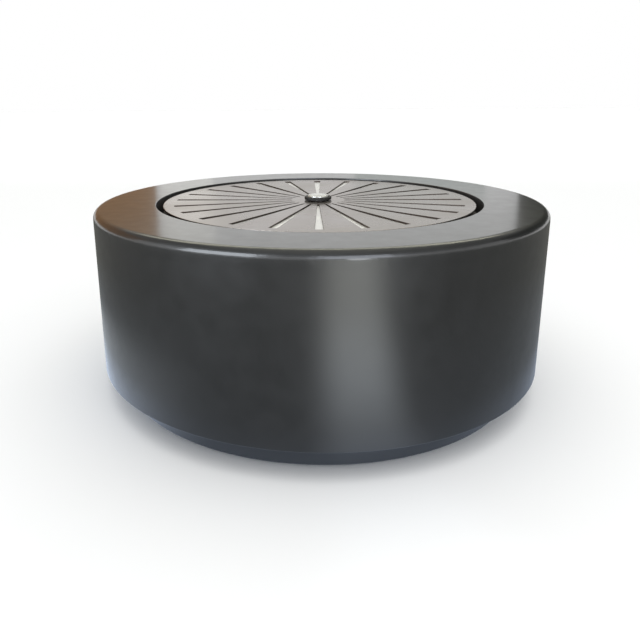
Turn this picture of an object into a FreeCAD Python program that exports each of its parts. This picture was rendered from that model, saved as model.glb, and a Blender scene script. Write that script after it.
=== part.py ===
import FreeCAD, Part
import os
import Sketcher

# Round steel fire pit. A rolled drum with a flat rim stands on a recessed plinth and
# four adjusting feet. A fire bowl hangs by its flange in the rim's throat, a fuel grate
# stands in the bowl, and a slotted cover grate with a turning shutter closes the top.
#
# Frame: +Z up, origin on the ground under the drum's axis, front towards -Y.
# Units: millimetres and degrees.

Vector = FreeCAD.Vector
doc = FreeCAD.newDocument("fire_pit")

# ---------------------------------------------------------------- driving dimensions

SIZES = (
    # drum and plinth
    ("drum_diameter", 900),
    ("drum_height", 314),
    ("shell_wall", 3),
    ("shoulder_radius", 14),
    ("rim_skirt", 12),
    ("bottom_edge_radius", 1.5),
    ("plinth_setback", 42.5),
    ("plinth_height", 48),
    ("plinth_wall", 3),
    ("base_plate_thickness", 3),
    ("base_inlet_diameter", 80),
    ("base_hole_diameter", 80),
    ("base_hole_circle", 400),
    ("base_hole_count", 8),
    ("weld_gap", 0.2),
    # throat in the rim
    ("throat_diameter", 663),
    ("throat_edge_radius", 1),
    ("collar_wall", 3),
    ("collar_depth", 60),
    ("gusset_count", 8),
    ("gusset_thickness", 3),
    ("gusset_height", 50),
    ("rest_count", 6),
    ("rest_spread", 8),
    ("rest_reach", 28),
    ("rest_thickness", 5),
    ("rest_leg_height", 20),
    ("rest_leg_thickness", 4),
    # adjusting feet
    ("foot_count", 4),
    ("foot_inset", 34.5),
    ("ground_gap", 5),
    ("foot_pad_diameter", 50),
    ("foot_pad_height", 6),
    ("foot_hub_diameter", 22),
    ("foot_hub_height", 12),
    ("foot_socket_floor", 4),
    ("foot_stud_diameter", 12),
    ("foot_stud_headroom", 3),
    ("foot_collar_flats", 19),
    ("foot_collar_gap", 0.3),
    ("foot_collar_height", 6),
    ("bracket_level", 20),
    ("bracket_thickness", 4),
    ("bracket_spread", 8),
    ("bracket_reach", 60),
    ("bracket_leg_gap", 5),
    ("weld_nut_flats", 19),
    ("weld_nut_height", 10),
    ("thread_clearance", 0.05),
    ("hole_clearance", 0.5),
    # ember shield over the air inlet
    ("shield_diameter", 300),
    ("shield_thickness", 2),
    ("shield_lift", 20),
    ("shield_screw_count", 3),
    ("shield_screw_circle", 240),
    ("shield_screw_diameter", 6),
    ("shield_head_diameter", 11),
    ("shield_head_height", 3.3),
    ("shield_nut_flats", 10),
    ("shield_nut_height", 5),
    ("spacer_diameter", 12),
    # fire bowl
    ("flange_width", 32),
    ("bowl_air_space", 46),
    ("bowl_wall", 3),
    ("bowl_corner_radius", 60),
    ("flange_gap", 7.5),
    ("flange_thickness", 4),
    ("flange_hole_diameter", 10),
    ("flange_hole_count", 36),
    ("bowl_hole_diameter", 12),
    ("bowl_floor_hole_circle", 240),
    ("bowl_floor_hole_count", 12),
    ("bowl_drain_diameter", 20),
    ("bowl_side_hole_level", 78),
    ("bowl_side_hole_count", 24),
    ("handle_rod_diameter", 8),
    ("handle_half_width", 32),
    ("handle_reach", 46),
    ("handle_drop", 26),
    # fuel grate
    ("fuel_grate_gap", 32),
    ("fuel_ring_thickness", 6),
    ("fuel_ring_height", 20),
    ("fuel_leg_height", 30),
    ("fuel_leg_count", 4),
    ("fuel_leg_spread", 7),
    ("fuel_bar_width", 10),
    ("fuel_bar_margin", 3),
    ("fuel_bar_count", 13),
    # cover grate
    ("grate_gap", 14),
    ("grate_recess", 3),
    ("grate_thickness", 3),
    ("grate_edge_radius", 0.6),
    ("slot_count", 24),
    ("slot_inner_radius", 55),
    ("slot_margin", 21.5),
    ("slot_inner_width", 4.5),
    ("slot_outer_width", 15.5),
    ("support_ring_height", 21),
    ("support_ring_thickness", 4),
    ("support_ring_gap", 2),
    ("bush_diameter", 20),
    ("bush_flange_diameter", 30),
    ("bush_flange_height", 1.5),
    ("clip_count", 6),
    ("clip_spread", 5),
    ("clip_reach", 7),
    ("clip_thickness", 2),
    ("stop_pin_diameter", 5),
    ("stop_pin_length", 6),
    ("stop_clearance", 0.15),
    # shutter and knob
    ("shutter_thickness", 2),
    ("shutter_gap", 0.3),
    ("shutter_overlap", 8),
    ("notch_web", 1.5),
    ("stud_diameter", 12),
    ("stud_neck_diameter", 10),
    ("stud_flange_diameter", 44),
    ("stud_flange_thickness", 3),
    ("running_clearance", 0.05),
    ("rivet_diameter", 4),
    ("rivet_head_diameter", 7),
    ("rivet_head_height", 1.2),
    ("rivet_circle", 30),
    ("rivet_count", 3),
    ("knob_ring_diameter", 56),
    ("knob_ring_height", 7.5),
    ("knob_ring_edge", 2),
    ("knob_lift", 0.3),
    ("knob_cap_diameter", 43),
    ("knob_cap_height", 4.2),
    ("knob_cap_edge", 1.5),
    ("knob_thread_depth", 2.4),
)

sheet = doc.addObject("Spreadsheet::Sheet", "Sizes")
for row, (alias, value) in enumerate(SIZES, start=1):
    sheet.set(f"A{row}", alias)
    sheet.set(f"B{row}", str(value))
    sheet.setAlias(f"B{row}", alias)
doc.recompute()


def size(alias):
    return f"Sizes.{alias}"


def half(alias):
    return f"(Sizes.{alias} / 2)"


def plus(*terms):
    return "(" + " + ".join(terms) + ")"


def minus(first, *rest):
    return "(" + " - ".join((first,) + rest) + ")"


# ---------------------------------------------------------------- shared radii and levels

DRUM = half("drum_diameter")
DRUM_INSIDE = minus(DRUM, size("shell_wall"))
THROAT = half("throat_diameter")
PLINTH = minus(DRUM, size("plinth_setback"))
PLINTH_INSIDE = minus(PLINTH, size("plinth_wall"))
UNDERSIDE = plus(size("ground_gap"), size("plinth_height"))
BASE_TOP = plus(UNDERSIDE, size("base_plate_thickness"))
RIM_TOP = plus(UNDERSIDE, size("drum_height"))
RIM_UNDER = minus(RIM_TOP, size("shell_wall"))
SEAM = minus(RIM_TOP, size("shoulder_radius"), size("rim_skirt"))

GRATE = minus(THROAT, size("grate_gap"))
GRATE_TOP = minus(RIM_TOP, size("grate_recess"))
GRATE_UNDER = minus(GRATE_TOP, size("grate_thickness"))
SLOT_END = minus(GRATE, size("slot_margin"))
SHUTTER = plus(SLOT_END, size("shutter_overlap"))
SHUTTER_TOP = minus(GRATE_UNDER, size("shutter_gap"))
SHUTTER_UNDER = minus(SHUTTER_TOP, size("shutter_thickness"))
SUPPORT_INSIDE = plus(SHUTTER, size("support_ring_gap"))
SUPPORT_OUTSIDE = plus(SUPPORT_INSIDE, size("support_ring_thickness"))

FLANGE_TOP = minus(GRATE_UNDER, size("support_ring_height"))
FLANGE_UNDER = minus(FLANGE_TOP, size("flange_thickness"))
FLANGE = minus(THROAT, size("flange_gap"))
BOWL = minus(FLANGE, size("flange_width"))
BOWL_INSIDE = minus(BOWL, size("bowl_wall"))
BOWL_UNDER = plus(BASE_TOP, size("shield_lift"), size("shield_thickness"), size("bowl_air_space"))
BOWL_FLOOR = plus(BOWL_UNDER, size("bowl_wall"))

FUEL_RING = minus(BOWL, size("bowl_corner_radius"), size("fuel_grate_gap"))
FUEL_RING_INSIDE = minus(FUEL_RING, size("fuel_ring_thickness"))
FUEL_RING_UNDER = plus(BOWL_FLOOR, size("fuel_leg_height"))
FUEL_RING_TOP = plus(FUEL_RING_UNDER, size("fuel_ring_height"))

BUSH_TOP = plus(GRATE_TOP, size("bush_flange_height"))
KNOB_UNDER = plus(BUSH_TOP, size("knob_lift"))
KNOB_TOP = plus(GRATE_TOP, size("knob_ring_height"))
CAP_TOP = plus(KNOB_TOP, size("knob_cap_height"))
STUD_FLANGE_UNDER = minus(SHUTTER_UNDER, size("stud_flange_thickness"))

SHIELD_UNDER = plus(BASE_TOP, size("shield_lift"))
SHIELD_TOP = plus(SHIELD_UNDER, size("shield_thickness"))

BRACKET_TOP = plus(size("bracket_level"), size("bracket_thickness"))
FOOT_COLLAR_TOP = minus(size("bracket_level"), size("foot_collar_gap"))

subparts = []


# ---------------------------------------------------------------- how a piece is made

def new_body(label):
    body = doc.addObject("PartDesign::Body", label)
    body.Label = label
    subparts.append(body)
    return body


def origin_item(body, role):
    return next(item for item in body.Origin.OriginFeatures if item.Role == role)


def new_sketch(body, name, role, level=None):
    """An empty sketch on one of the body's origin planes, raised by an expression."""
    sketch = body.newObject("Sketcher::SketchObject", name)
    sketch.AttachmentSupport = (origin_item(body, role), [""])
    sketch.MapMode = "FlatFace"
    if level is not None:
        sketch.setExpression("AttachmentOffset.Base.z", level)
    return sketch


def pin_point(sketch, geometry, end, place, value):
    """Tie one point of a sketch to two expressions, measured from the sketch's origin."""
    for kind, expression, number in zip(("DistanceX", "DistanceY"), place, value):
        constraint = Sketcher.Constraint(kind, -1, 1, geometry, end, number)
        index = sketch.addConstraint(constraint)
        sketch.setExpression(f"Constraints[{index}]", expression)


def outline(body, name, role, corners, level=None):
    """A closed straight-sided outline whose corners are pairs of expressions."""
    sketch = new_sketch(body, name, role, level)
    values = [(sheet.evalExpression(x), sheet.evalExpression(y)) for x, y in corners]
    count = len(corners)
    for index in range(count):
        start = Vector(*values[index], 0)
        end = Vector(*values[(index + 1) % count], 0)
        sketch.addGeometry(Part.LineSegment(start, end), False)
    for index in range(count):
        sketch.addConstraint(Sketcher.Constraint("Coincident", index, 2, (index + 1) % count, 1))
    for index in range(count):
        pin_point(sketch, index, 1, corners[index], values[index])
    return sketch


def circle(body, name, role, centre, radius, level=None):
    """A sketch of one circle, its centre and radius given by expressions."""
    sketch = new_sketch(body, name, role, level)
    value = (sheet.evalExpression(centre[0]), sheet.evalExpression(centre[1]))
    reach = sheet.evalExpression(radius)
    sketch.addGeometry(Part.Circle(Vector(*value, 0), Vector(0, 0, 1), reach), False)
    pin_point(sketch, 0, 3, centre, value)
    index = sketch.addConstraint(Sketcher.Constraint("Radius", 0, reach))
    sketch.setExpression(f"Constraints[{index}]", radius)
    return sketch


def turned(body, name, corners, spread=None):
    """Turn an upright outline of (radius, height) corners about the drum's axis."""
    sketch = outline(body, name + "_outline", "XZ_Plane", corners)
    feature = body.newObject("PartDesign::Revolution", name)
    feature.Profile = sketch
    feature.ReferenceAxis = (sketch, ["V_Axis"])
    feature.Angle = 360
    if spread is not None:
        feature.Midplane = True
        feature.setExpression("Angle", spread)
    return feature


def ring_corners(inside, outside, low, high):
    return [(inside, low), (outside, low), (outside, high), (inside, high)]


def pad(body, name, sketch, length, symmetric=False):
    feature = body.newObject("PartDesign::Pad", name)
    feature.Profile = sketch
    feature.setExpression("Length", length)
    feature.Midplane = symmetric
    return feature


def cut_through(body, name, sketch, depth):
    """A pocket of a stated depth, upwards from its sketch; it must take material away."""
    doc.recompute()
    before = body.Shape.Volume
    feature = body.newObject("PartDesign::Pocket", name)
    feature.Profile = sketch
    feature.Reversed = True
    feature.setExpression("Length", depth)
    doc.recompute()
    if not body.Shape.Volume < before:
        raise RuntimeError(f"{body.Label}: {name} cuts nothing")
    return feature


def around(body, name, features, count):
    """Repeat features evenly round the drum's axis."""
    pattern = body.newObject("PartDesign::PolarPattern", name)
    pattern.Originals = features
    pattern.Axis = (origin_item(body, "Z_Axis"), [""])
    pattern.Angle = 360
    pattern.setExpression("Occurrences", count)
    body.Tip = pattern
    return pattern


def rounded(body, name, base, radius, chosen):
    """Round the circular edges that lie at the (radius, height) pairs given."""
    doc.recompute()
    wanted = [(sheet.evalExpression(reach), sheet.evalExpression(level)) for reach, level in chosen]
    names = []
    for index, edge in enumerate(base.Shape.Edges, start=1):
        if not isinstance(edge.Curve, Part.Circle):
            continue
        for reach, level in wanted:
            if abs(edge.Curve.Radius - reach) < 1e-4 and abs(edge.Curve.Center.z - level) < 1e-4:
                names.append(f"Edge{index}")
    if len(names) != len(wanted):
        raise RuntimeError(f"{body.Label}: {name} found {len(names)} edges")
    fillet = body.newObject("PartDesign::Fillet", name)
    fillet.Base = (base, names)
    fillet.setExpression("Radius", radius)
    return fillet


def hexagon(flats, centre):
    """Corners of a hexagon with two flats across X, from its width across flats."""
    return [
        (f"{centre} + {flats} / sqrt(3) * cos({angle} deg)", f"{flats} / sqrt(3) * sin({angle} deg)")
        for angle in range(30, 390, 60)
    ]


def turn_body(body, degrees):
    body.Placement = FreeCAD.Placement(Vector(0, 0, 0), FreeCAD.Rotation(Vector(0, 0, 1), degrees))


# ---------------------------------------------------------------- drum

# Flat rim with its rounded shoulder: a pressed ring, welded to the wall and ground flush.
body = new_body("rim_ring")
rim = turned(body, "rim", [
    (THROAT, RIM_TOP),
    (DRUM, RIM_TOP),
    (DRUM, SEAM),
    (DRUM_INSIDE, SEAM),
    (DRUM_INSIDE, RIM_UNDER),
    (THROAT, RIM_UNDER),
])
shoulder = rounded(body, "shoulder", rim, size("shoulder_radius"), [(DRUM, RIM_TOP)])
inner_shoulder = rounded(
    body, "inner_shoulder", shoulder,
    minus(size("shoulder_radius"), size("shell_wall")), [(DRUM_INSIDE, RIM_UNDER)]
)
rounded(body, "throat_edge", inner_shoulder, size("throat_edge_radius"), [(THROAT, RIM_TOP)])

# Rolled sheet wall under the rim, its lower edge eased.
body = new_body("drum_wall")
wall = turned(body, "wall", ring_corners(DRUM_INSIDE, DRUM, UNDERSIDE, SEAM))
rounded(body, "bottom_edge", wall, size("bottom_edge_radius"), [(DRUM, UNDERSIDE)])

# Rolled strip welded under the throat's edge; the bowl's rests stand on its inside.
body = new_body("throat_collar")
turned(body, "collar", ring_corners(
    THROAT, plus(THROAT, size("collar_wall")), minus(RIM_UNDER, size("collar_depth")), RIM_UNDER
))

# Upright plates that stiffen the rim between the collar and the wall.
body = new_body("rim_gussets")
GUSSET_INSIDE = plus(THROAT, size("collar_wall"), size("weld_gap"))
GUSSET_OUTSIDE = minus(DRUM_INSIDE, size("weld_gap"))
gusset_outline = outline(body, "gusset_outline", "XZ_Plane", [
    (GUSSET_INSIDE, RIM_UNDER),
    (minus(GUSSET_OUTSIDE, size("shoulder_radius")), RIM_UNDER),
    (GUSSET_OUTSIDE, minus(RIM_UNDER, size("shoulder_radius"))),
    (GUSSET_OUTSIDE, minus(RIM_UNDER, size("gusset_height"))),
    (GUSSET_INSIDE, minus(RIM_UNDER, half("gusset_height"))),
])
gusset = pad(body, "gusset", gusset_outline, size("gusset_thickness"), symmetric=True)
around(body, "gussets", [gusset], size("gusset_count"))

# Angle lugs welded inside the collar; the bowl's flange sits on them.
body = new_body("bowl_rests")
REST_LEG = minus(THROAT, size("rest_leg_thickness"))
REST_SHELF_UNDER = minus(FLANGE_UNDER, size("rest_thickness"))
REST_FOOT = minus(REST_SHELF_UNDER, size("rest_leg_height"))
rest = turned(body, "rest", [
    (THROAT, FLANGE_UNDER),
    (THROAT, REST_FOOT),
    (REST_LEG, REST_FOOT),
    (REST_LEG, REST_SHELF_UNDER),
    (minus(THROAT, size("rest_reach")), REST_SHELF_UNDER),
    (minus(THROAT, size("rest_reach")), FLANGE_UNDER),
], spread=size("rest_spread"))
around(body, "rests", [rest], size("rest_count"))

# Steel disc that closes the drum's underside, with the air inlet and a ring of air holes.
body = new_body("base_plate")
turned(body, "plate", ring_corners(
    half("base_inlet_diameter"), minus(DRUM_INSIDE, size("weld_gap")), UNDERSIDE, BASE_TOP
))
air_circle = circle(
    body, "air_hole_outline", "XY_Plane", (half("base_hole_circle"), "0"),
    half("base_hole_diameter"), UNDERSIDE
)
air_hole = cut_through(body, "air_hole", air_circle, size("base_plate_thickness"))
around(body, "air_holes", [air_hole], size("base_hole_count"))
screw_circle = circle(
    body, "screw_hole_outline", "XY_Plane", (half("shield_screw_circle"), "0"),
    plus(half("shield_screw_diameter"), size("hole_clearance")), UNDERSIDE
)
screw_hole = cut_through(body, "screw_hole", screw_circle, size("base_plate_thickness"))
around(body, "screw_holes", [screw_hole], size("shield_screw_count"))

# Recessed ring under the drum that lifts it off the ground and leaves a shadow line.
body = new_body("plinth_ring")
turned(body, "plinth", ring_corners(PLINTH_INSIDE, PLINTH, size("ground_gap"), UNDERSIDE))

# ---------------------------------------------------------------- adjusting feet

FOOT = minus(PLINTH_INSIDE, size("foot_inset"))
FOOT_HOLE = plus(half("foot_stud_diameter"), size("hole_clearance"))
FOOT_THREAD = plus(half("foot_stud_diameter"), size("thread_clearance"))
FIRST_FOOT = 45

# Angle brackets welded inside the plinth, one over each foot.
body = new_body("foot_brackets")
BRACKET_LEG = minus(PLINTH_INSIDE, size("bracket_thickness"))
bracket = turned(body, "bracket", [
    (minus(PLINTH_INSIDE, size("bracket_reach")), size("bracket_level")),
    (PLINTH_INSIDE, size("bracket_level")),
    (PLINTH_INSIDE, minus(UNDERSIDE, size("bracket_leg_gap"))),
    (BRACKET_LEG, minus(UNDERSIDE, size("bracket_leg_gap"))),
    (BRACKET_LEG, BRACKET_TOP),
    (minus(PLINTH_INSIDE, size("bracket_reach")), BRACKET_TOP),
], spread=size("bracket_spread"))
stud_circle = circle(body, "stud_hole_outline", "XY_Plane", (FOOT, "0"), FOOT_HOLE, size("bracket_level"))
stud_hole = cut_through(body, "stud_hole", stud_circle, size("bracket_thickness"))
around(body, "brackets", [bracket, stud_hole], size("foot_count"))
turn_body(body, FIRST_FOOT)

# Hexagon nuts welded on the brackets; the feet's studs turn in them.
body = new_body("foot_weld_nuts")
nut_outline = outline(body, "nut_outline", "XY_Plane", hexagon(size("weld_nut_flats"), FOOT), BRACKET_TOP)
nut = pad(body, "nut", nut_outline, size("weld_nut_height"))
thread_circle = circle(body, "thread_outline", "XY_Plane", (FOOT, "0"), FOOT_THREAD, BRACKET_TOP)
thread = cut_through(body, "thread", thread_circle, size("weld_nut_height"))
around(body, "nuts", [nut, thread], size("foot_count"))
turn_body(body, FIRST_FOOT)

foot_total = int(sheet.evalExpression(size("foot_count")))
for number in range(1, foot_total + 1):
    angle = FIRST_FOOT + (number - 1) * 360 / foot_total

    # Threaded stud with a hexagon collar for the spanner.
    body = new_body(f"foot_stud_{number}")
    stud_outline = circle(
        body, "stud_outline", "XY_Plane", (FOOT, "0"), half("foot_stud_diameter"), size("foot_socket_floor")
    )
    pad(body, "stud", stud_outline, minus(UNDERSIDE, size("foot_stud_headroom"), size("foot_socket_floor")))
    collar_outline = outline(
        body, "collar_outline", "XY_Plane", hexagon(size("foot_collar_flats"), FOOT),
        minus(FOOT_COLLAR_TOP, size("foot_collar_height"))
    )
    pad(body, "collar", collar_outline, size("foot_collar_height"))
    turn_body(body, angle)

    # Moulded foot pad with a socket for the stud's end.
    body = new_body(f"foot_pad_{number}")
    pad_outline = circle(body, "pad_outline", "XY_Plane", (FOOT, "0"), half("foot_pad_diameter"))
    pad(body, "pad", pad_outline, size("foot_pad_height"))
    hub_outline = circle(body, "hub_outline", "XY_Plane", (FOOT, "0"), half("foot_hub_diameter"))
    pad(body, "hub", hub_outline, size("foot_hub_height"))
    socket_outline = circle(
        body, "socket_outline", "XY_Plane", (FOOT, "0"), FOOT_THREAD, size("foot_socket_floor")
    )
    cut_through(body, "socket", socket_outline, minus(size("foot_hub_height"), size("foot_socket_floor")))
    turn_body(body, angle)

# ---------------------------------------------------------------- ember shield

SHIELD_SCREW = half("shield_screw_circle")
SHIELD_HOLE = plus(half("shield_screw_diameter"), size("hole_clearance"))

# Thin disc over the air inlet that keeps embers from falling through to the ground.
body = new_body("ember_shield")
shield_outline = circle(body, "shield_outline", "XY_Plane", ("0", "0"), half("shield_diameter"), SHIELD_UNDER)
pad(body, "shield", shield_outline, size("shield_thickness"))
shield_hole_outline = circle(
    body, "screw_hole_outline", "XY_Plane", (SHIELD_SCREW, "0"), SHIELD_HOLE, SHIELD_UNDER
)
shield_hole = cut_through(body, "screw_hole", shield_hole_outline, size("shield_thickness"))
around(body, "screw_holes", [shield_hole], size("shield_screw_count"))

# Tube spacers that hold the shield clear of the base plate.
body = new_body("shield_spacers")
tube_outline = circle(
    body, "tube_outline", "XY_Plane", (SHIELD_SCREW, "0"), half("spacer_diameter"), BASE_TOP
)
tube = pad(body, "tube", tube_outline, size("shield_lift"))
bore_outline = circle(body, "bore_outline", "XY_Plane", (SHIELD_SCREW, "0"), SHIELD_HOLE, BASE_TOP)
bore = cut_through(body, "bore", bore_outline, size("shield_lift"))
around(body, "spacers", [tube, bore], size("shield_screw_count"))

# Screws down through the shield, the spacers and the base plate.
body = new_body("shield_screws")
SCREW_END = minus(UNDERSIDE, size("shield_nut_height"))
shank_outline = circle(
    body, "shank_outline", "XY_Plane", (SHIELD_SCREW, "0"), half("shield_screw_diameter"), SCREW_END
)
shank = pad(body, "shank", shank_outline, minus(plus(SHIELD_TOP, half("shield_head_height")), SCREW_END))
head_outline = circle(
    body, "head_outline", "XY_Plane", (SHIELD_SCREW, "0"), half("shield_head_diameter"), SHIELD_TOP
)
head = pad(body, "head", head_outline, size("shield_head_height"))
around(body, "screws", [shank, head], size("shield_screw_count"))

# Nuts of those screws, under the base plate.
body = new_body("shield_nuts")
shield_nut_outline = outline(
    body, "nut_outline", "XY_Plane", hexagon(size("shield_nut_flats"), SHIELD_SCREW), SCREW_END
)
shield_nut = pad(body, "nut", shield_nut_outline, size("shield_nut_height"))
shield_thread_outline = circle(
    body, "thread_outline", "XY_Plane", (SHIELD_SCREW, "0"),
    plus(half("shield_screw_diameter"), size("thread_clearance")), SCREW_END
)
shield_thread = cut_through(body, "thread", shield_thread_outline, size("shield_nut_height"))
around(body, "nuts", [shield_nut, shield_thread], size("shield_screw_count"))

# ---------------------------------------------------------------- fire bowl

# Deep-drawn steel bowl with air holes in its floor and low in its wall.
body = new_body("fire_bowl")
bowl = turned(body, "bowl", [
    ("0", BOWL_UNDER),
    (BOWL, BOWL_UNDER),
    (BOWL, FLANGE_TOP),
    (BOWL_INSIDE, FLANGE_TOP),
    (BOWL_INSIDE, BOWL_FLOOR),
    ("0", BOWL_FLOOR),
])
bowl_corner = rounded(body, "bowl_corner", bowl, size("bowl_corner_radius"), [(BOWL, BOWL_UNDER)])
rounded(
    body, "bowl_inner_corner", bowl_corner, minus(size("bowl_corner_radius"), size("bowl_wall")),
    [(BOWL_INSIDE, BOWL_FLOOR)]
)
floor_hole_outline = circle(
    body, "floor_hole_outline", "XY_Plane", (half("bowl_floor_hole_circle"), "0"), half("bowl_hole_diameter"),
    BOWL_UNDER
)
floor_hole = cut_through(body, "floor_hole", floor_hole_outline, size("bowl_wall"))
around(body, "floor_holes", [floor_hole], size("bowl_floor_hole_count"))
drain_outline = circle(body, "drain_outline", "XY_Plane", ("0", "0"), half("bowl_drain_diameter"), BOWL_UNDER)
cut_through(body, "drain", drain_outline, size("bowl_wall"))
side_hole_outline = circle(
    body, "side_hole_outline", "YZ_Plane", ("0", plus(BOWL_UNDER, size("bowl_side_hole_level"))),
    half("bowl_hole_diameter")
)
side_hole = cut_through(body, "side_hole", side_hole_outline, BOWL)
around(body, "side_holes", [side_hole], size("bowl_side_hole_count"))

# Flat ring welded round the bowl's mouth; it carries the bowl, and the cover stands on it.
body = new_body("bowl_flange")
turned(body, "flange", ring_corners(BOWL, FLANGE, FLANGE_UNDER, FLANGE_TOP))
flange_hole_outline = circle(
    body, "air_hole_outline", "XY_Plane", (f"(({SUPPORT_OUTSIDE} + {FLANGE}) / 2)", "0"),
    half("flange_hole_diameter"), FLANGE_UNDER
)
flange_hole = cut_through(body, "air_hole", flange_hole_outline, size("flange_thickness"))
around(body, "air_holes", [flange_hole], size("flange_hole_count"))

# Two bent rods welded inside the bowl's mouth, to lift it out by.
body = new_body("bowl_handles")
HANDLE_LEVEL = minus(FLANGE_TOP, size("handle_drop"))
HANDLE_ROD = half("handle_rod_diameter")
HANDLE_SIDE = plus(size("handle_half_width"), HANDLE_ROD)
HANDLE_ROOT = f"sqrt({BOWL_INSIDE} * {BOWL_INSIDE} - {HANDLE_SIDE} * {HANDLE_SIDE})"
HANDLE_BEND = plus(minus(BOWL_INSIDE, size("handle_reach")), size("handle_half_width"))
route = new_sketch(body, "rod_route", "XY_Plane", HANDLE_LEVEL)
root_x, bend_x, side_y = (
    sheet.evalExpression(text) for text in (HANDLE_ROOT, HANDLE_BEND, size("handle_half_width"))
)
route.addGeometry(Part.LineSegment(Vector(root_x, -side_y, 0), Vector(bend_x, -side_y, 0)), False)
route.addGeometry(Part.Arc(
    Vector(bend_x, -side_y, 0), Vector(bend_x - side_y, 0, 0), Vector(bend_x, side_y, 0)
), False)
route.addGeometry(Part.LineSegment(Vector(bend_x, side_y, 0), Vector(root_x, side_y, 0)), False)
arc_start, arc_end = (1, 2) if route.getPoint(1, 1).y < 0 else (2, 1)
route.addConstraint(Sketcher.Constraint("Coincident", 0, 2, 1, arc_start))
route.addConstraint(Sketcher.Constraint("Coincident", 1, arc_end, 2, 1))
centre_across = route.addConstraint(Sketcher.Constraint("DistanceX", -1, 1, 1, 3, bend_x))
route.setExpression(f"Constraints[{centre_across}]", HANDLE_BEND)
pin_point(route, 0, 1, (HANDLE_ROOT, f"-{size('handle_half_width')}"), (root_x, -side_y))
pin_point(route, 0, 2, (HANDLE_BEND, f"-{size('handle_half_width')}"), (bend_x, -side_y))
pin_point(route, 2, 1, (HANDLE_BEND, size("handle_half_width")), (bend_x, side_y))
pin_point(route, 2, 2, (HANDLE_ROOT, size("handle_half_width")), (root_x, side_y))
rod_section = circle(
    body, "rod_section", "YZ_Plane", (f"-{size('handle_half_width')}", HANDLE_LEVEL), HANDLE_ROD, HANDLE_ROOT
)
rod = body.newObject("PartDesign::AdditivePipe", "rod")
rod.Profile = rod_section
rod.Spine = (route, [])
around(body, "handles", [rod], "2")

# ---------------------------------------------------------------- fuel grate

# Square bars that the logs lie on, trimmed to the ring's circle.
body = new_body("fuel_grate_bars")
FIRST_BAR = minus(FUEL_RING, size("fuel_bar_margin"), half("fuel_bar_width"))
BAR_PITCH = f"(2 * {FIRST_BAR} / ({size('fuel_bar_count')} - 1))"
BAR_GAP = minus(BAR_PITCH, size("fuel_bar_width"))
FIRST_GAP = plus(f"-{FIRST_BAR}", half("fuel_bar_width"))
bar_disc_outline = circle(body, "disc_outline", "XY_Plane", ("0", "0"), FUEL_RING, FUEL_RING_TOP)
pad(body, "disc", bar_disc_outline, size("fuel_bar_width"))
gap_outline = outline(body, "gap_outline", "XY_Plane", [
    (FIRST_GAP, f"-{FUEL_RING}"),
    (plus(FIRST_GAP, BAR_GAP), f"-{FUEL_RING}"),
    (plus(FIRST_GAP, BAR_GAP), FUEL_RING),
    (FIRST_GAP, FUEL_RING),
], FUEL_RING_TOP)
gap = cut_through(body, "gap", gap_outline, size("fuel_bar_width"))
gaps = body.newObject("PartDesign::LinearPattern", "gaps")
gaps.Originals = [gap]
gaps.Direction = (origin_item(body, "X_Axis"), [""])
gaps.setExpression("Length", f"({size('fuel_bar_count')} - 2) * {BAR_PITCH}")
gaps.setExpression("Occurrences", f"{size('fuel_bar_count')} - 1")
body.Tip = gaps

# Rolled flat bar under the ends of the bars.
body = new_body("fuel_grate_ring")
turned(body, "ring", ring_corners(FUEL_RING_INSIDE, FUEL_RING, FUEL_RING_UNDER, FUEL_RING_TOP))

# Short feet under the ring that stand on the bowl's floor.
body = new_body("fuel_grate_legs")
leg = turned(
    body, "leg", ring_corners(FUEL_RING_INSIDE, FUEL_RING, BOWL_FLOOR, FUEL_RING_UNDER),
    spread=size("fuel_leg_spread")
)
around(body, "legs", [leg], size("fuel_leg_count"))
turn_body(body, 45)

# ---------------------------------------------------------------- cover grate


def wedge_slots(body, low, depth, offset=None):
    """Radial slots that widen outwards, cut all round a plate."""
    sketch = outline(body, "slot_outline", "XY_Plane", [
        (size("slot_inner_radius"), f"-{half('slot_inner_width')}"),
        (SLOT_END, f"-{half('slot_outer_width')}"),
        (SLOT_END, half("slot_outer_width")),
        (size("slot_inner_radius"), half("slot_inner_width")),
    ], low)
    if offset is not None:
        sketch.setExpression("AttachmentOffset.Rotation.Angle", offset)
    slot = cut_through(body, "slot", sketch, depth)
    around(body, "slots", [slot], size("slot_count"))


# Stainless disc with radial slots, laser cut, its edge eased.
body = new_body("grate_plate")
plate = turned(body, "plate", ring_corners(half("bush_diameter"), GRATE, GRATE_UNDER, GRATE_TOP))
rounded(body, "plate_edge", plate, size("grate_edge_radius"), [(GRATE, GRATE_TOP)])
wedge_slots(body, GRATE_UNDER, size("grate_thickness"))

# Flat bar on edge, rolled and welded under the plate; it stands on the bowl's flange.
body = new_body("grate_support_ring")
turned(body, "ring", ring_corners(SUPPORT_INSIDE, SUPPORT_OUTSIDE, FLANGE_TOP, GRATE_UNDER))

# Flanged bush pressed in the plate's centre; the knob's stud turns in it.
body = new_body("hub_bush")
BUSH_BORE = plus(half("stud_diameter"), size("running_clearance"))
turned(body, "bush", [
    (BUSH_BORE, GRATE_UNDER),
    (half("bush_diameter"), GRATE_UNDER),
    (half("bush_diameter"), GRATE_TOP),
    (half("bush_flange_diameter"), GRATE_TOP),
    (half("bush_flange_diameter"), BUSH_TOP),
    (BUSH_BORE, BUSH_TOP),
])

# Tabs on the support ring's inside that keep the shutter's edge from sagging.
body = new_body("shutter_clips")
CLIP_TOP = minus(SHUTTER_UNDER, size("shutter_gap"))
CLIP_UNDER = minus(CLIP_TOP, size("clip_thickness"))
clip = turned(body, "clip", ring_corners(
    minus(SUPPORT_INSIDE, size("clip_reach")), SUPPORT_INSIDE, CLIP_UNDER, CLIP_TOP
), spread=size("clip_spread"))
around(body, "clips", [clip], size("clip_count"))
turn_body(body, 30)

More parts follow.
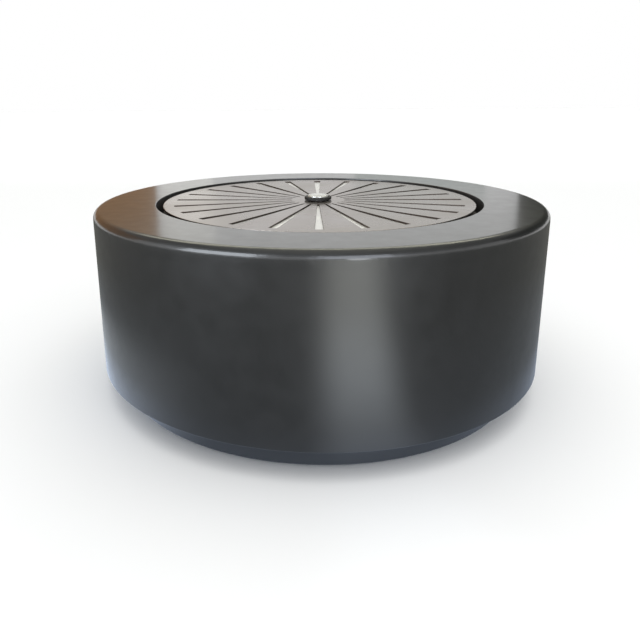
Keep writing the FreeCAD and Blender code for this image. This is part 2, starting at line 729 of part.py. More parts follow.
# Pin welded under the plate that stops the shutter at each end of its notch.
SHUTTER_TRAVEL = "(180 / Sizes.slot_count)"
NOTCH_FLOOR = plus(SLOT_END, size("notch_web"))
PIN_CIRCLE = plus(NOTCH_FLOOR, half("stop_pin_diameter"), size("stop_clearance"))
body = new_body("stop_pin")
pin_outline = circle(
    body, "pin_outline", "XY_Plane", (PIN_CIRCLE, "0"), half("stop_pin_diameter"),
    minus(GRATE_UNDER, size("stop_pin_length"))
)
pad(body, "pin", pin_outline, size("stop_pin_length"))
turn_body(body, sheet.evalExpression(SHUTTER_TRAVEL) / 2)

# ---------------------------------------------------------------- shutter and knob

# Polished disc with the same slots, half a pitch round from the plate's when it is shut.
body = new_body("shutter_disc")
turned(body, "disc", ring_corners(
    plus(half("stud_diameter"), size("running_clearance")), SHUTTER, SHUTTER_UNDER, SHUTTER_TOP
))
wedge_slots(body, SHUTTER_UNDER, size("shutter_thickness"), offset=SHUTTER_TRAVEL)
notch_outline = outline(body, "notch_outline", "XZ_Plane", ring_corners(
    NOTCH_FLOOR, plus(SHUTTER, size("shutter_overlap")), SHUTTER_UNDER, SHUTTER_TOP
))
doc.recompute()
uncut_volume = body.Shape.Volume
notch = body.newObject("PartDesign::Groove", "notch")
notch.Profile = notch_outline
notch.ReferenceAxis = (notch_outline, ["V_Axis"])
notch.Midplane = True
PIN_ALLOWANCE = f"asin(({half('stop_pin_diameter')} + {size('stop_clearance')}) / {PIN_CIRCLE})"
notch.setExpression("Angle", f"{SHUTTER_TRAVEL} * 1 deg + 2 * {PIN_ALLOWANCE}")
doc.recompute()
if not body.Shape.Volume < uncut_volume:
    raise RuntimeError("shutter_disc: notch cuts nothing")
rivet_circle = (half("rivet_circle"), "0")
rivet_hole_outline = circle(
    body, "rivet_hole_outline", "XY_Plane", rivet_circle, half("rivet_diameter"), SHUTTER_UNDER
)
rivet_hole = cut_through(body, "rivet_hole", rivet_hole_outline, size("shutter_thickness"))
around(body, "rivet_holes", [rivet_hole], size("rivet_count"))

# Turned stud: a flange under the shutter, a journal in the bush and a threaded neck.
body = new_body("hub_stud")
turned(body, "stud", [
    ("0", STUD_FLANGE_UNDER),
    (half("stud_flange_diameter"), STUD_FLANGE_UNDER),
    (half("stud_flange_diameter"), SHUTTER_UNDER),
    (half("stud_diameter"), SHUTTER_UNDER),
    (half("stud_diameter"), KNOB_UNDER),
    (half("stud_neck_diameter"), KNOB_UNDER),
    (half("stud_neck_diameter"), plus(KNOB_TOP, size("knob_thread_depth"))),
    ("0", plus(KNOB_TOP, size("knob_thread_depth"))),
])
stud_rivet_outline = circle(
    body, "rivet_hole_outline", "XY_Plane", rivet_circle, half("rivet_diameter"), STUD_FLANGE_UNDER
)
stud_rivet_hole = cut_through(body, "rivet_hole", stud_rivet_outline, size("stud_flange_thickness"))
around(body, "rivet_holes", [stud_rivet_hole], size("rivet_count"))

# Rivets through the shutter and the stud's flange, headed below and flush above.
body = new_body("shutter_rivets")
rivet_shank_outline = circle(
    body, "shank_outline", "XY_Plane", rivet_circle, half("rivet_diameter"), STUD_FLANGE_UNDER
)
rivet_shank = pad(body, "shank", rivet_shank_outline, minus(SHUTTER_TOP, STUD_FLANGE_UNDER))
rivet_head_outline = circle(
    body, "head_outline", "XY_Plane", rivet_circle, half("rivet_head_diameter"),
    minus(STUD_FLANGE_UNDER, size("rivet_head_height"))
)
rivet_head = pad(body, "head", rivet_head_outline, size("rivet_head_height"))
around(body, "rivets", [rivet_shank, rivet_head], size("rivet_count"))

# Black heat-proof ring that the fingers grip; it is recessed below for the bush's flange.
body = new_body("knob_ring")
knob = turned(body, "ring", ring_corners(
    half("stud_neck_diameter"), half("knob_ring_diameter"), KNOB_UNDER, KNOB_TOP
))
rounded(body, "ring_edge", knob, size("knob_ring_edge"), [(half("knob_ring_diameter"), KNOB_TOP)])

# Low stainless cap screwed on the stud's neck, which clamps the ring.
body = new_body("knob_cap")
cap = turned(body, "cap", [
    ("0", plus(KNOB_TOP, size("knob_thread_depth"))),
    (half("stud_neck_diameter"), plus(KNOB_TOP, size("knob_thread_depth"))),
    (half("stud_neck_diameter"), KNOB_TOP),
    (half("knob_cap_diameter"), KNOB_TOP),
    (half("knob_cap_diameter"), CAP_TOP),
    ("0", CAP_TOP),
])
rounded(body, "cap_edge", cap, size("knob_cap_edge"), [(half("knob_cap_diameter"), CAP_TOP)])

# ---------------------------------------------------------------- check and write

doc.recompute()
for item in doc.Objects:
    if "Invalid" in item.State or "Error" in item.State:
        raise RuntimeError(f"{item.Label} failed: {item.State}")
for body in subparts:
    if body.Shape.isNull() or not body.Shape.isValid():
        raise RuntimeError(f"{body.Label} has no valid shape")

os.makedirs("parts", exist_ok=True)
for body in subparts:
    body.Shape.exportStep(f"parts/{body.Label}.step")
    print(body.Label, len(body.Shape.Solids), round(body.Shape.Volume / 1000, 2), "cm3")
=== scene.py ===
import math

import bmesh
import bpy
from mathutils import Matrix, Vector


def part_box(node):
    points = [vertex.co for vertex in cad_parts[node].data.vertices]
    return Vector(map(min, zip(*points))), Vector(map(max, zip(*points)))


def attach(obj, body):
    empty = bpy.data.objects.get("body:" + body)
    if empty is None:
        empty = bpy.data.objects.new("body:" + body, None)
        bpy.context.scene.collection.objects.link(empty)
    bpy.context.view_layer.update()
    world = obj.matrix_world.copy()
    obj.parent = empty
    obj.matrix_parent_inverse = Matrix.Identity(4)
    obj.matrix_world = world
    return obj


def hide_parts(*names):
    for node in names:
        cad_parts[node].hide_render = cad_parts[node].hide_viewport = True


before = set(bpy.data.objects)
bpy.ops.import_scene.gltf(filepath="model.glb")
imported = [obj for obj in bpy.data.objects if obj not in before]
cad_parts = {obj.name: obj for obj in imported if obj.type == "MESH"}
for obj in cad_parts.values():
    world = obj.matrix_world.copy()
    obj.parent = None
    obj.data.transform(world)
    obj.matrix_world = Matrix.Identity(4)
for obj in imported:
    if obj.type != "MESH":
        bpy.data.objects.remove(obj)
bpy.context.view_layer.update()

# Drum: a flat rim turned over a rounded shoulder into the straight wall, rolled from 3 mm
# steel, welded and ground so that no seam shows, then powder coated in satin charcoal.
# The coat has a fine orange-peel texture and slight mottling.


def start_finish(name):
    """A new material with its node tree, its shader and the surface's own coordinates."""
    material = bpy.data.materials.new(name)
    material.use_nodes = True
    tree = material.node_tree
    place = tree.nodes.new("ShaderNodeTexCoord").outputs["Object"]
    return material, tree, tree.nodes["Principled BSDF"], place


def stretched(tree, place, scales):
    """Coordinates scaled by different amounts along each axis, for a grain with a direction."""
    mapping = tree.nodes.new("ShaderNodeMapping")
    mapping.inputs["Scale"].default_value = scales
    tree.links.new(place, mapping.inputs["Vector"])
    return mapping.outputs["Vector"]


def grain(tree, place, scale, detail=2.0):
    """Noise from 0 to 1 with features about 1 / scale metres wide."""
    noise = tree.nodes.new("ShaderNodeTexNoise")
    noise.inputs["Scale"].default_value = scale
    noise.inputs["Detail"].default_value = detail
    tree.links.new(place, noise.inputs["Vector"])
    return noise.outputs["Fac"]


def tint(tree, factor, *stops):
    """Colours laid along a factor from 0 to 1."""
    ramp = tree.nodes.new("ShaderNodeValToRGB")
    for position, _ in stops[1:-1]:
        ramp.color_ramp.elements.new(position)
    for element, (position, colour) in zip(ramp.color_ramp.elements, stops):
        element.position = position
        element.color = (*colour, 1)
    tree.links.new(factor, ramp.inputs["Fac"])
    return ramp.outputs["Color"]


def spread(tree, factor, low, high):
    """A noise's usual span taken to the span from low to high."""
    stretch = tree.nodes.new("ShaderNodeMapRange")
    stretch.inputs["From Min"].default_value = 0.3
    stretch.inputs["From Max"].default_value = 0.7
    stretch.inputs["To Min"].default_value = low
    stretch.inputs["To Max"].default_value = high
    tree.links.new(factor, stretch.inputs["Value"])
    return stretch.outputs["Result"]


def relief(tree, shader, height, depth, strength=1.0):
    """Bumps depth metres high, on top of any that the shader has already."""
    bump = tree.nodes.new("ShaderNodeBump")
    bump.inputs["Distance"].default_value = depth
    bump.inputs["Strength"].default_value = strength
    tree.links.new(height, bump.inputs["Height"])
    if shader.inputs["Normal"].links:
        tree.links.new(shader.inputs["Normal"].links[0].from_socket, bump.inputs["Normal"])
    tree.links.new(bump.outputs["Normal"], shader.inputs["Normal"])


def worked_out(tree, operation, first, second=None, third=None):
    """The result of a maths node on outputs or plain numbers."""
    maths = tree.nodes.new("ShaderNodeMath")
    maths.operation = operation
    for slot_number, value in enumerate((first, second, third)):
        if isinstance(value, (int, float)):
            maths.inputs[slot_number].default_value = value
        elif value is not None:
            tree.links.new(value, maths.inputs[slot_number])
    return maths.outputs[0]


def faded(tree, value, full, none):
    """1 up to full, falling smoothly to 0 at none."""
    fade = tree.nodes.new("ShaderNodeMapRange")
    fade.interpolation_type = "SMOOTHERSTEP"
    fade.inputs["From Min"].default_value = full
    fade.inputs["From Max"].default_value = none
    fade.inputs["To Min"].default_value = 1
    fade.inputs["To Max"].default_value = 0
    tree.links.new(value, fade.inputs["Value"])
    return fade.outputs["Result"]


def powder_coat(name, dark, light, roughness, bend_top=None):
    """Satin powder coat: mottled colour, orange peel and a slow waviness of the sheet.

    bend_top is the height of a turned-over shoulder, which the bending has left rippled.
    """
    material, tree, shader, place = start_finish(name)
    mottling = grain(tree, place, 9, 4)
    tree.links.new(tint(tree, mottling, (0.35, dark), (0.65, light)), shader.inputs["Base Color"])
    sheen_patches = grain(tree, place, 30, 3)
    tree.links.new(
        spread(tree, sheen_patches, roughness - 0.035, roughness + 0.035),
        shader.inputs["Roughness"],
    )
    shader.inputs["IOR"].default_value = 1.5
    shader.inputs["Coat Weight"].default_value = 0.8
    shader.inputs["Coat Roughness"].default_value = 0.14
    relief(tree, shader, grain(tree, place, 14, 1), 0.0002, 0.5)
    relief(tree, shader, grain(tree, place, 480, 1.5), 0.00005)
    if bend_top:
        bend = tree.nodes.new("ShaderNodeSeparateXYZ")
        tree.links.new(place, bend.inputs[0])
        below = worked_out(tree, "SUBTRACT", bend_top, bend.outputs["Z"])
        down_the_wall = faded(tree, below, full=0.016, none=0.034)
        up_to_the_rim = faded(tree, below, full=0.003, none=0.0)
        near_bend = worked_out(tree, "MULTIPLY", down_the_wall, up_to_the_rim)
        ripples = worked_out(tree, "MULTIPLY", grain(tree, place, 55, 2), near_bend)
        relief(tree, shader, ripples, 0.0004)
    tree.links.new(shader.inputs["Normal"].links[0].from_socket, shader.inputs["Coat Normal"])
    return material


def turned_piece(name, corners, rounds, material, steps=288, margin=0.0004):
    """A ring or disc spun from its section. rounds gives a corner's number its radius.

    Points a margin from the ends of the straight runs keep them flat beside the rounds.
    """
    shape = bmesh.new()
    points = [shape.verts.new((radius, 0, height)) for radius, height in corners]
    shape.faces.new(points)
    for number, radius in rounds.items():
        bmesh.ops.bevel(
            shape, geom=[points[number]], affect="VERTICES", offset=radius, segments=10,
            profile=0.5, material=-1,
        )
    bmesh.ops.delete(shape, geom=shape.faces[:], context="FACES_ONLY")
    for run in [edge for edge in shape.edges if edge.calc_length() > 4 * margin]:
        for end in run.verts[:]:
            bmesh.utils.edge_split(run, end, margin / run.calc_length())
    bmesh.ops.spin(
        shape, geom=shape.verts[:] + shape.edges[:], cent=(0, 0, 0), axis=(0, 0, 1),
        dvec=(0, 0, 0), angle=math.tau, steps=steps, use_merge=True,
    )
    bmesh.ops.remove_doubles(shape, verts=shape.verts[:], dist=1e-6)
    return finished_piece(name, shape, material)


def finished_piece(name, shape, material):
    """A piece made from a bmesh, with smooth rounds and crisp corners."""
    bmesh.ops.recalc_face_normals(shape, faces=shape.faces[:])
    for face in shape.faces:
        face.smooth = True
    mesh = bpy.data.meshes.new(name)
    shape.to_mesh(mesh)
    shape.free()
    mesh.set_sharp_from_angle(angle=math.radians(32))
    mesh.materials.append(material)
    piece = bpy.data.objects.new(name, mesh)
    bpy.context.scene.collection.objects.link(piece)
    return piece


rim_low, rim_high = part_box("rim_ring")
wall_low, wall_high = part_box("drum_wall")
collar_low, collar_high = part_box("throat_collar")
steel = 0.003
shoulder_radius = 0.014
throat_edge_radius = 0.001
hem_radius = 0.0013
drum_radius = rim_high.x
rim_top = rim_high.z
drum_bottom = wall_low.z
throat_radius = collar_high.x - steel
charcoal = powder_coat(
    "satin_charcoal_coat", (0.0095, 0.010, 0.0103), (0.0125, 0.013, 0.0137), 0.40, rim_top,
)
drum_skin = turned_piece("drum_skin", [
    (throat_radius, rim_top),
    (drum_radius, rim_top),
    (drum_radius, drum_bottom),
    (drum_radius - steel, drum_bottom),
    (drum_radius - steel, rim_top - steel),
    (throat_radius, rim_top - steel),
], {
    0: throat_edge_radius, 1: shoulder_radius, 2: hem_radius, 4: shoulder_radius - steel,
}, charcoal, steps=360)
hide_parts("rim_ring", "drum_wall")
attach(drum_skin, "drum")

# Plinth: a plain ring of the same steel set back under the drum and coated with it. A
# small fillet weld runs round the corner where it meets the drum's base.

plinth_low, plinth_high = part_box("plinth_ring")
plinth_coat = powder_coat("plinth_coat", (0.011, 0.0125, 0.0145), (0.015, 0.017, 0.02), 0.4)
weld_size = 0.003
foot_edge_radius = 0.0008
plinth = turned_piece("plinth", [
    (plinth_high.x, plinth_high.z - weld_size),
    (plinth_high.x, plinth_low.z),
    (plinth_high.x - steel, plinth_low.z),
    (plinth_high.x - steel, plinth_high.z),
    (plinth_high.x + weld_size, plinth_high.z),
], {1: foot_edge_radius, 2: foot_edge_radius}, plinth_coat)
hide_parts("plinth_ring")
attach(plinth, "drum")

# Base plate and foot brackets: 3 mm plate with a central air inlet and a ring of air
# holes, and four folded brackets welded inside the plinth, all in the drum's coat.


def paint_node(node, material):
    """A CAD node keeps its own shape and takes a finish."""
    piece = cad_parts[node]
    for holder in piece.material_slots:
        holder.material = material


under_coat = powder_coat("under_coat", (0.011, 0.0115, 0.0125), (0.017, 0.0175, 0.019), 0.46)
for node in ("base_plate", "foot_brackets"):
    paint_node(node, under_coat)

# Collar, gussets, bowl rests and ember shield: plain steel under a matt heat-proof black,
# greyed by ash and browned where the fire has heated it.


def heat_black(name, ash, heat):
    """Matt stove black: ash dust in patches, heat tint, and a fine sprayed grain."""
    material, tree, shader, place = start_finish(name)
    patches = grain(tree, place, 7, 6)
    colours = tint(tree, patches, (0.3, (0.008, 0.008, 0.008)), (0.52, heat), (0.75, ash))
    tree.links.new(colours, shader.inputs["Base Color"])
    tree.links.new(spread(tree, grain(tree, place, 60, 4), 0.6, 0.8), shader.inputs["Roughness"])
    relief(tree, shader, grain(tree, place, 600, 2), 0.00015)
    return material


stove_black = heat_black("stove_black", (0.022, 0.021, 0.02), (0.014, 0.012, 0.011))
for node in ("throat_collar", "rim_gussets", "bowl_rests", "ember_shield"):
    paint_node(node, stove_black)

# Weld nuts, and the shield's screws, nuts and tube spacers: turned and pressed steel with
# a bright zinc plate that has dulled. The nuts are welded or screwed up tight.


def zinc_plate(name):
    """Zinc plate with its cloudy blue and straw bloom and fine scratches."""
    material, tree, shader, place = start_finish(name)
    bloom = tint(
        tree, grain(tree, place, 90, 3),
        (0.3, (0.42, 0.44, 0.47)), (0.5, (0.50, 0.50, 0.50)), (0.7, (0.52, 0.50, 0.44)),
    )
    tree.links.new(bloom, shader.inputs["Base Color"])
    shader.inputs["Metallic"].default_value = 1
    tree.links.new(spread(tree, grain(tree, place, 400, 3), 0.3, 0.5), shader.inputs["Roughness"])
    relief(tree, shader, grain(tree, place, 1500, 2), 0.00004)
    return material


zinc = zinc_plate("zinc_plate")
for node in ("foot_weld_nuts", "shield_spacers", "shield_screws", "shield_nuts"):
    paint_node(node, zinc)

# Fire bowl: a deep pressed bowl with a flat flange that hangs on the rests, air holes in
# floor and side, and two bent-rod handles. Its black has turned rusty brown by the fire.

bowl_black = heat_black("bowl_black", (0.04, 0.036, 0.032), (0.018, 0.012, 0.009))
for node in ("fire_bowl", "bowl_flange", "bowl_handles"):
    paint_node(node, bowl_black)

# Fuel grate: square mill-steel bars welded on a flat ring with four legs. The steel is
# scaled and oxidised, with rust in patches and ash in the pits.


def mill_steel(name):
    """Hot-rolled steel with blue-grey scale, patches of rust and a pitted surface."""
    material, tree, shader, place = start_finish(name)
    rust = tint(
        tree, grain(tree, place, 45, 6),
        (0.38, (0.055, 0.055, 0.06)), (0.52, (0.09, 0.06, 0.045)), (0.68, (0.17, 0.075, 0.035)),
    )
    tree.links.new(rust, shader.inputs["Base Color"])
    shader.inputs["Metallic"].default_value = 0.45
    tree.links.new(spread(tree, grain(tree, place, 120, 4), 0.5, 0.75), shader.inputs["Roughness"])
    relief(tree, shader, grain(tree, place, 500, 5), 0.0003)
    return material


def broken_edges(name, node, material, width, segments=2, cut_wall_shade=None, walls_within=1.0):
    """A copy of a CAD node's sheet or bars with its sharp edges slightly rounded.

    The walls that the cutting left within a radius can take a second finish: a darker one, painted
    shade.
    """
    shape = bmesh.new()
    shape.from_mesh(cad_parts[node].data)
    bmesh.ops.remove_doubles(shape, verts=shape.verts[:], dist=1e-6)
    bmesh.ops.dissolve_limit(
        shape, angle_limit=math.radians(0.5), verts=shape.verts[:], edges=shape.edges[:],
    )
    sharp = [
        edge for edge in shape.edges
        if edge.is_manifold and edge.calc_face_angle() > math.radians(60)
    ]
    bmesh.ops.bevel(
        shape, geom=sharp, affect="EDGES", offset=width, segments=segments, profile=0.5,
        material=-1, clamp_overlap=True,
    )
    shape.normal_update()
    walls = [
        abs(face.normal.z) < 0.5 and face.calc_center_median().xy.length < walls_within
        for face in shape.faces
    ]
    along_an_axis = 0.99999
    flats = [max(abs(part) for part in face.normal) > along_an_axis for face in shape.faces]
    piece = finished_piece(name, shape, material)
    if cut_wall_shade:
        piece.data.materials.append(cut_wall_shade)
    for face, is_wall, is_flat in zip(piece.data.polygons, walls, flats):
        face.use_smooth = not is_flat
        face.material_index = int(is_wall and cut_wall_shade is not None)
    return piece


scaled_steel = mill_steel("scaled_steel")
grate_bars = broken_edges("grate_bars", "fuel_grate_bars", scaled_steel, 0.0009)
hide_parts("fuel_grate_bars")
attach(grate_bars, "fuel_grate")
for node in ("fuel_grate_ring", "fuel_grate_legs"):
    paint_node(node, scaled_steel)

# Cover grate: a round plate laser cut from brushed stainless sheet, with 24 tapering
# slots that point at the knob. Its edges are lightly broken, and the grain runs across.


def brushed_steel(name, colour, shade, roughness):
    """Stainless sheet with a fine straight grain, faint water marks and fingerprints."""
    material, tree, shader, place = start_finish(name)
    along = stretched(tree, place, (6, 900, 900))
    hairlines = grain(tree, along, 1, 3)
    clouds = grain(tree, place, 8, 4)
    base = tree.nodes.new("ShaderNodeMix")
    base.data_type = "RGBA"
    base.blend_type = "MULTIPLY"
    base.inputs["Factor"].default_value = 1
    tree.links.new(tint(tree, hairlines, (0.3, shade), (0.7, colour)), base.inputs["A"])
    tree.links.new(
        tint(tree, clouds, (0.35, (0.94, 0.94, 0.95)), (0.65, (1, 1, 1))), base.inputs["B"],
    )
    tree.links.new(base.outputs["Result"], shader.inputs["Base Color"])
    shader.inputs["Metallic"].default_value = 1
    tree.links.new(
        spread(tree, clouds, roughness - 0.04, roughness + 0.05), shader.inputs["Roughness"],
    )
    relief(tree, shader, hairlines, 0.00004)
    return material


cover_steel = brushed_steel("cover_steel", (0.425, 0.385, 0.362), (0.37, 0.335, 0.312), 0.27)
# Painted shade: the slots' cut walls get a darker, browner stainless than the sheet, for the shade
# inside the slots.
laser_cut_wall_shade = brushed_steel("laser_cut_wall_shade", (0.13, 0.105, 0.09), (0.08, 0.065, 0.055), 0.55)
cover_low, cover_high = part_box("grate_plate")
border_past_slots = 0.0125
cover_plate = broken_edges(
    "cover_plate", "grate_plate", cover_steel, 0.00025, cut_wall_shade=laser_cut_wall_shade,
    walls_within=cover_high.x - border_past_slots,
)
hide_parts("grate_plate")
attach(cover_plate, "cover")
ring_steel = brushed_steel("ring_steel", (0.30, 0.28, 0.26), (0.22, 0.205, 0.19), 0.42)
for node in ("grate_support_ring", "hub_bush", "shutter_clips", "stop_pin"):
    paint_node(node, ring_steel)

# Shutter: a bright rolled disc under the cover with slots of its own. Turning the knob
# brings them under the cover's slots or, as it stands, closes them.


def bright_steel(name, colour, roughness):
    """Bright rolled stainless with faint swirls from wiping."""
    material, tree, shader, place = start_finish(name)
    swirls = grain(tree, place, 35, 5)
    shade = tuple(0.9 * channel for channel in colour)
    tree.links.new(tint(tree, swirls, (0.35, shade), (0.65, colour)), shader.inputs["Base Color"])
    shader.inputs["Metallic"].default_value = 0.7
    tree.links.new(spread(tree, swirls, roughness, roughness + 0.1), shader.inputs["Roughness"])
    relief(tree, shader, grain(tree, place, 300, 2), 0.000008)
    return material


shutter_steel = bright_steel("shutter_steel", (0.90, 0.89, 0.86), 0.3)
shutter = broken_edges("shutter", "shutter_disc", shutter_steel, 0.0002, segments=1)
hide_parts("shutter_disc")
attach(shutter, "shutter")
for node in ("hub_stud", "shutter_rivets"):
    paint_node(node, ring_steel)

# Knob: a black heat-proof ring that the fingers grip, clamped by a low polished cap. The
# ring's edge is well rounded; the cap is crowned, with a turned groove near its edge.


def moulded_black(name, colour, roughness):
    """Moulded black with a fine spark texture and slightly polished patches."""
    material, tree, shader, place = start_finish(name)
    wear = grain(tree, place, 120, 3)
    worn = tuple(1.8 * channel for channel in colour)
    tree.links.new(tint(tree, wear, (0.4, colour), (0.75, worn)), shader.inputs["Base Color"])
    tree.links.new(spread(tree, wear, roughness + 0.08, roughness), shader.inputs["Roughness"])
    relief(tree, shader, grain(tree, place, 1400, 2), 0.00006)
    return material


ring_low, ring_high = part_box("knob_ring")
cap_low, cap_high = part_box("knob_cap")
neck_radius = 0.004
grip_radius = 0.002
grip_under_radius = 0.0008
grip_black = moulded_black("grip_black", (0.007, 0.0065, 0.006), 0.58)
knob_grip = turned_piece("knob_grip", [
    (neck_radius, ring_high.z),
    (ring_high.x, ring_high.z),
    (ring_high.x, ring_low.z),
    (neck_radius, ring_low.z),
], {1: grip_radius, 2: grip_under_radius}, grip_black, steps=96)
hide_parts("knob_ring")
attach(knob_grip, "shutter")
cap_radius = cap_high.x
groove_radius = 0.8 * cap_radius
crown = 0.0012
groove = 0.0007
cap_edge_radius = 0.0024
cap_steel = bright_steel("cap_steel", (0.78, 0.78, 0.75), 0.26)
knob_top = turned_piece("knob_top", [
    (0, cap_high.z),
    (0.5 * groove_radius, cap_high.z - 0.25 * crown),
    (groove_radius - groove, cap_high.z - crown + groove / 2),
    (groove_radius, cap_high.z - crown - groove),
    (groove_radius + groove, cap_high.z - crown + groove / 2),
    (cap_radius, cap_high.z - crown),
    (cap_radius, cap_low.z),
    (0, cap_low.z),
], {5: cap_edge_radius}, cap_steel, steps=96)
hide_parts("knob_cap")
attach(knob_top, "shutter")

# Feet: a plastic pad moulded on a zinc-plated stud, which screws into its bracket's nut,
# so that the pit can be levelled on uneven paving.

foot_black = moulded_black("foot_black", (0.014, 0.014, 0.014), 0.5)
for number in range(1, 5):
    paint_node(f"foot_stud_{number}", zinc)
    paint_node(f"foot_pad_{number}", foot_black)

# Studio: a pale floor and an even pale light. Cards that only the gloss shows stand round
# the drum: timber, a hedge, pale walls and a high window behind, bright openings in front
# and to the left, and paving below with two pools of light.

floor_reach = 30
floor_finish, _, floor_shader, _ = start_finish("floor")
floor_shader.inputs["Base Color"].default_value = (0.85, 0.855, 0.86, 1)
floor_shader.inputs["Roughness"].default_value = 0.75


def card(name, corners, material):
    """A flat four-cornered card of the studio."""
    shape = bmesh.new()
    shape.faces.new([shape.verts.new(corner) for corner in corners])
    mesh = bpy.data.meshes.new(name)
    shape.to_mesh(mesh)
    shape.free()
    mesh.materials.append(material)
    panel = bpy.data.objects.new(name, mesh)
    bpy.context.scene.collection.objects.link(panel)
    return panel


def square(reach, level):
    """The corners of a level square round the drum's axis."""
    return [
        (-reach, -reach, level), (reach, -reach, level), (reach, reach, level), (-reach, reach, level),
    ]


floor = card("floor", square(floor_reach, 0), floor_finish)
floor.visible_glossy = False


def start_glow(name):
    """A glowing material, with its node tree and its emission node."""
    material = bpy.data.materials.new(name)
    material.use_nodes = True
    tree = material.node_tree
    tree.nodes.clear()
    glow = tree.nodes.new("ShaderNodeEmission")
    surface = tree.nodes.new("ShaderNodeOutputMaterial")
    tree.links.new(glow.outputs[0], surface.inputs["Surface"])
    return material, tree, glow


def only_in_gloss(panel):
    """Hides a card from everything but reflections."""
    panel.visible_camera = False
    panel.visible_diffuse = False
    panel.visible_shadow = False


def screen(name, start, end, low, high, colour, strength=1.0):
    """A glowing card upright between two places (x, y), seen only in reflections."""
    material, tree, glow = start_glow(name)
    glow.inputs["Color"].default_value = (*colour, 1)
    glow.inputs["Strength"].default_value = strength
    corners = [(*start, low), (*end, low), (*end, high), (*start, high)]
    only_in_gloss(card(name, corners, material))


screen("timber_screen", (-0.84, 1.9), (-1.6, -0.2), 0.42, 1.1, (0.35, 0.19, 0.085))
screen("hedge_screen", (1.0, 1.75), (1.5, -0.2), 0.42, 1.1, (0.018, 0.02, 0.012))
screen("pale_wall", (-0.82, 1.92), (-0.55, 1.98), 0.42, 1.1, (1, 1, 0.97), 1.15)
screen("far_wall", (0.2, 1.85), (0.85, 1.8), 0.42, 0.66, (0.62, 0.66, 0.64))
screen("high_window", (-1.6, 1.6), (1.6, 1.6), 1.75, 2.85, (1, 0.98, 0.80), 2.7)
screen("door_light", (0.50, -2.36), (0.84, -2.24), 0.002, 1.5, (0.93, 0.96, 1), 9)
screen("porch_light", (0.0, -2.42), (1.2, -2.05), 0.4, 1.5, (0.85, 0.9, 1), 4.5)
screen("side_light", (-2.15, -1.3), (-1.0, -2.2), 0.3, 1.7, (0.87, 0.93, 1), 7.5)

paving, paving_tree, paving_glow = start_glow("paving")
around = paving_tree.nodes.new("ShaderNodeTexCoord").outputs["Object"]
paving_place = paving_tree.nodes.new("ShaderNodeSeparateXYZ")
paving_tree.links.new(around, paving_place.inputs[0])
paving_x, paving_y = paving_place.outputs["X"], paving_place.outputs["Y"]
distance = worked_out(
    paving_tree, "SQRT",
    worked_out(paving_tree, "MULTIPLY_ADD", paving_x, paving_x,
               worked_out(paving_tree, "MULTIPLY", paving_y, paving_y)),
)
from_front = worked_out(
    paving_tree, "ARCTAN2", paving_x, worked_out(paving_tree, "MULTIPLY", paving_y, -1),
)
paving_reach = 3.0
share_of_reach = worked_out(paving_tree, "DIVIDE", distance, paving_reach)
paving_shades = tint(
    paving_tree, share_of_reach,
    (0.45 / paving_reach, (0.42, 0.49, 0.61)), (0.60 / paving_reach, (0.225, 0.245, 0.265)),
    (1.3 / paving_reach, (0.155, 0.157, 0.145)), (1.0, (0.12, 0.12, 0.10)),
)


def light_pool(bearing, core, edge, full, none):
    """Light on the paving round a bearing, even over its core and fading with distance."""
    aside = worked_out(
        paving_tree, "ABSOLUTE",
        worked_out(paving_tree, "SUBTRACT", from_front, math.radians(bearing)),
    )
    return worked_out(
        paving_tree, "MULTIPLY", faded(paving_tree, aside, math.radians(core), math.radians(edge)),
        faded(paving_tree, distance, full, none),
    )


door_pool = light_pool(bearing=13, core=2, edge=19, full=1.05, none=0.34)
door_gain = 13.0
left_pool = light_pool(bearing=-95, core=30, edge=74, full=0.58, none=0.93)
left_gain = 1.35
pools = worked_out(
    paving_tree, "MULTIPLY_ADD", door_pool, door_gain,
    worked_out(paving_tree, "MULTIPLY_ADD", left_pool, left_gain, 1.0),
)
paving_tree.links.new(paving_shades, paving_glow.inputs["Color"])
paving_tree.links.new(pools, paving_glow.inputs["Strength"])
only_in_gloss(card("paving", square(paving_reach, 0.0005), paving))

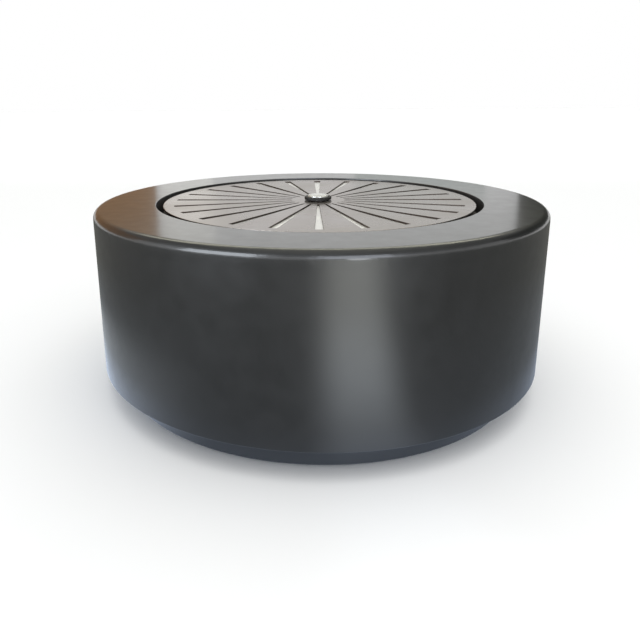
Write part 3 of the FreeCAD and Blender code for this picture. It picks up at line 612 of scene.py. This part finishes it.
world = bpy.data.worlds.new("studio")
bpy.context.scene.world = world
world.use_nodes = True
sky = world.node_tree
sky.nodes.clear()
compass = sky.nodes.new("ShaderNodeTexCoord")
height = sky.nodes.new("ShaderNodeSeparateXYZ")
sky.links.new(compass.outputs["Generated"], height.inputs[0])
dim_sky = (0.26, 0.26, 0.25)
overhead = (0.6, 0.6, 0.56)
bands = tint(
    sky, height.outputs["Z"],
    (0.0, (0.90, 0.90, 0.89)), (0.30, (0.90, 0.91, 0.92)), (0.42, dim_sky),
    (0.84, dim_sky), (0.92, overhead), (1.0, overhead),
)
surround = sky.nodes.new("ShaderNodeBackground")
sky.links.new(bands, surround.inputs["Color"])
backdrop = sky.nodes.new("ShaderNodeBackground")
backdrop.inputs["Color"].default_value = (1, 1, 1, 1)
ray = sky.nodes.new("ShaderNodeLightPath")
choice = sky.nodes.new("ShaderNodeMixShader")
sky.links.new(ray.outputs["Is Camera Ray"], choice.inputs["Fac"])
sky.links.new(surround.outputs[0], choice.inputs[1])
sky.links.new(backdrop.outputs[0], choice.inputs[2])
sky_output = sky.nodes.new("ShaderNodeOutputWorld")
sky.links.new(choice.outputs[0], sky_output.inputs["Surface"])

sun_data = bpy.data.lights.new("sun", "SUN")
sun_data.energy = 2.68
sun_data.angle = math.radians(100)
sun = bpy.data.objects.new("sun", sun_data)
sun.rotation_euler = (math.radians(12), math.radians(8), 0)
sun.visible_glossy = False
bpy.context.scene.collection.objects.link(sun)
bpy.context.scene.view_settings.view_transform = "Standard"

# Camera: the eye of someone crouching a step in front of the pit, a little above the rim,
# looking slightly down and to the left of the drum's axis.

camera_data = bpy.data.cameras.new("camera")
camera_data.lens = 34.14
camera_data.shift_x = 0.0461
camera_data.shift_y = -0.1024
camera_data.clip_start = 0.01
camera = bpy.data.objects.new("camera", camera_data)
bpy.context.scene.collection.objects.link(camera)
bpy.context.scene.camera = camera
eye_distance = 1.2592
eye_above_rim = 0.2035
bearing = math.radians(-0.41)
look_left = math.radians(2.66)
look_down = math.radians(14.46)
head_tilt = math.radians(-0.46)
eye = Vector((0, -eye_distance, rim_top + eye_above_rim))
eye.rotate(Matrix.Rotation(bearing, 3, "Z"))
camera.matrix_world = (
    Matrix.Translation(eye)
    @ Matrix.Rotation(bearing + look_left, 4, "Z")
    @ Matrix.Rotation(math.pi / 2 - look_down, 4, "X")
    @ Matrix.Rotation(head_tilt, 4, "Z")
)
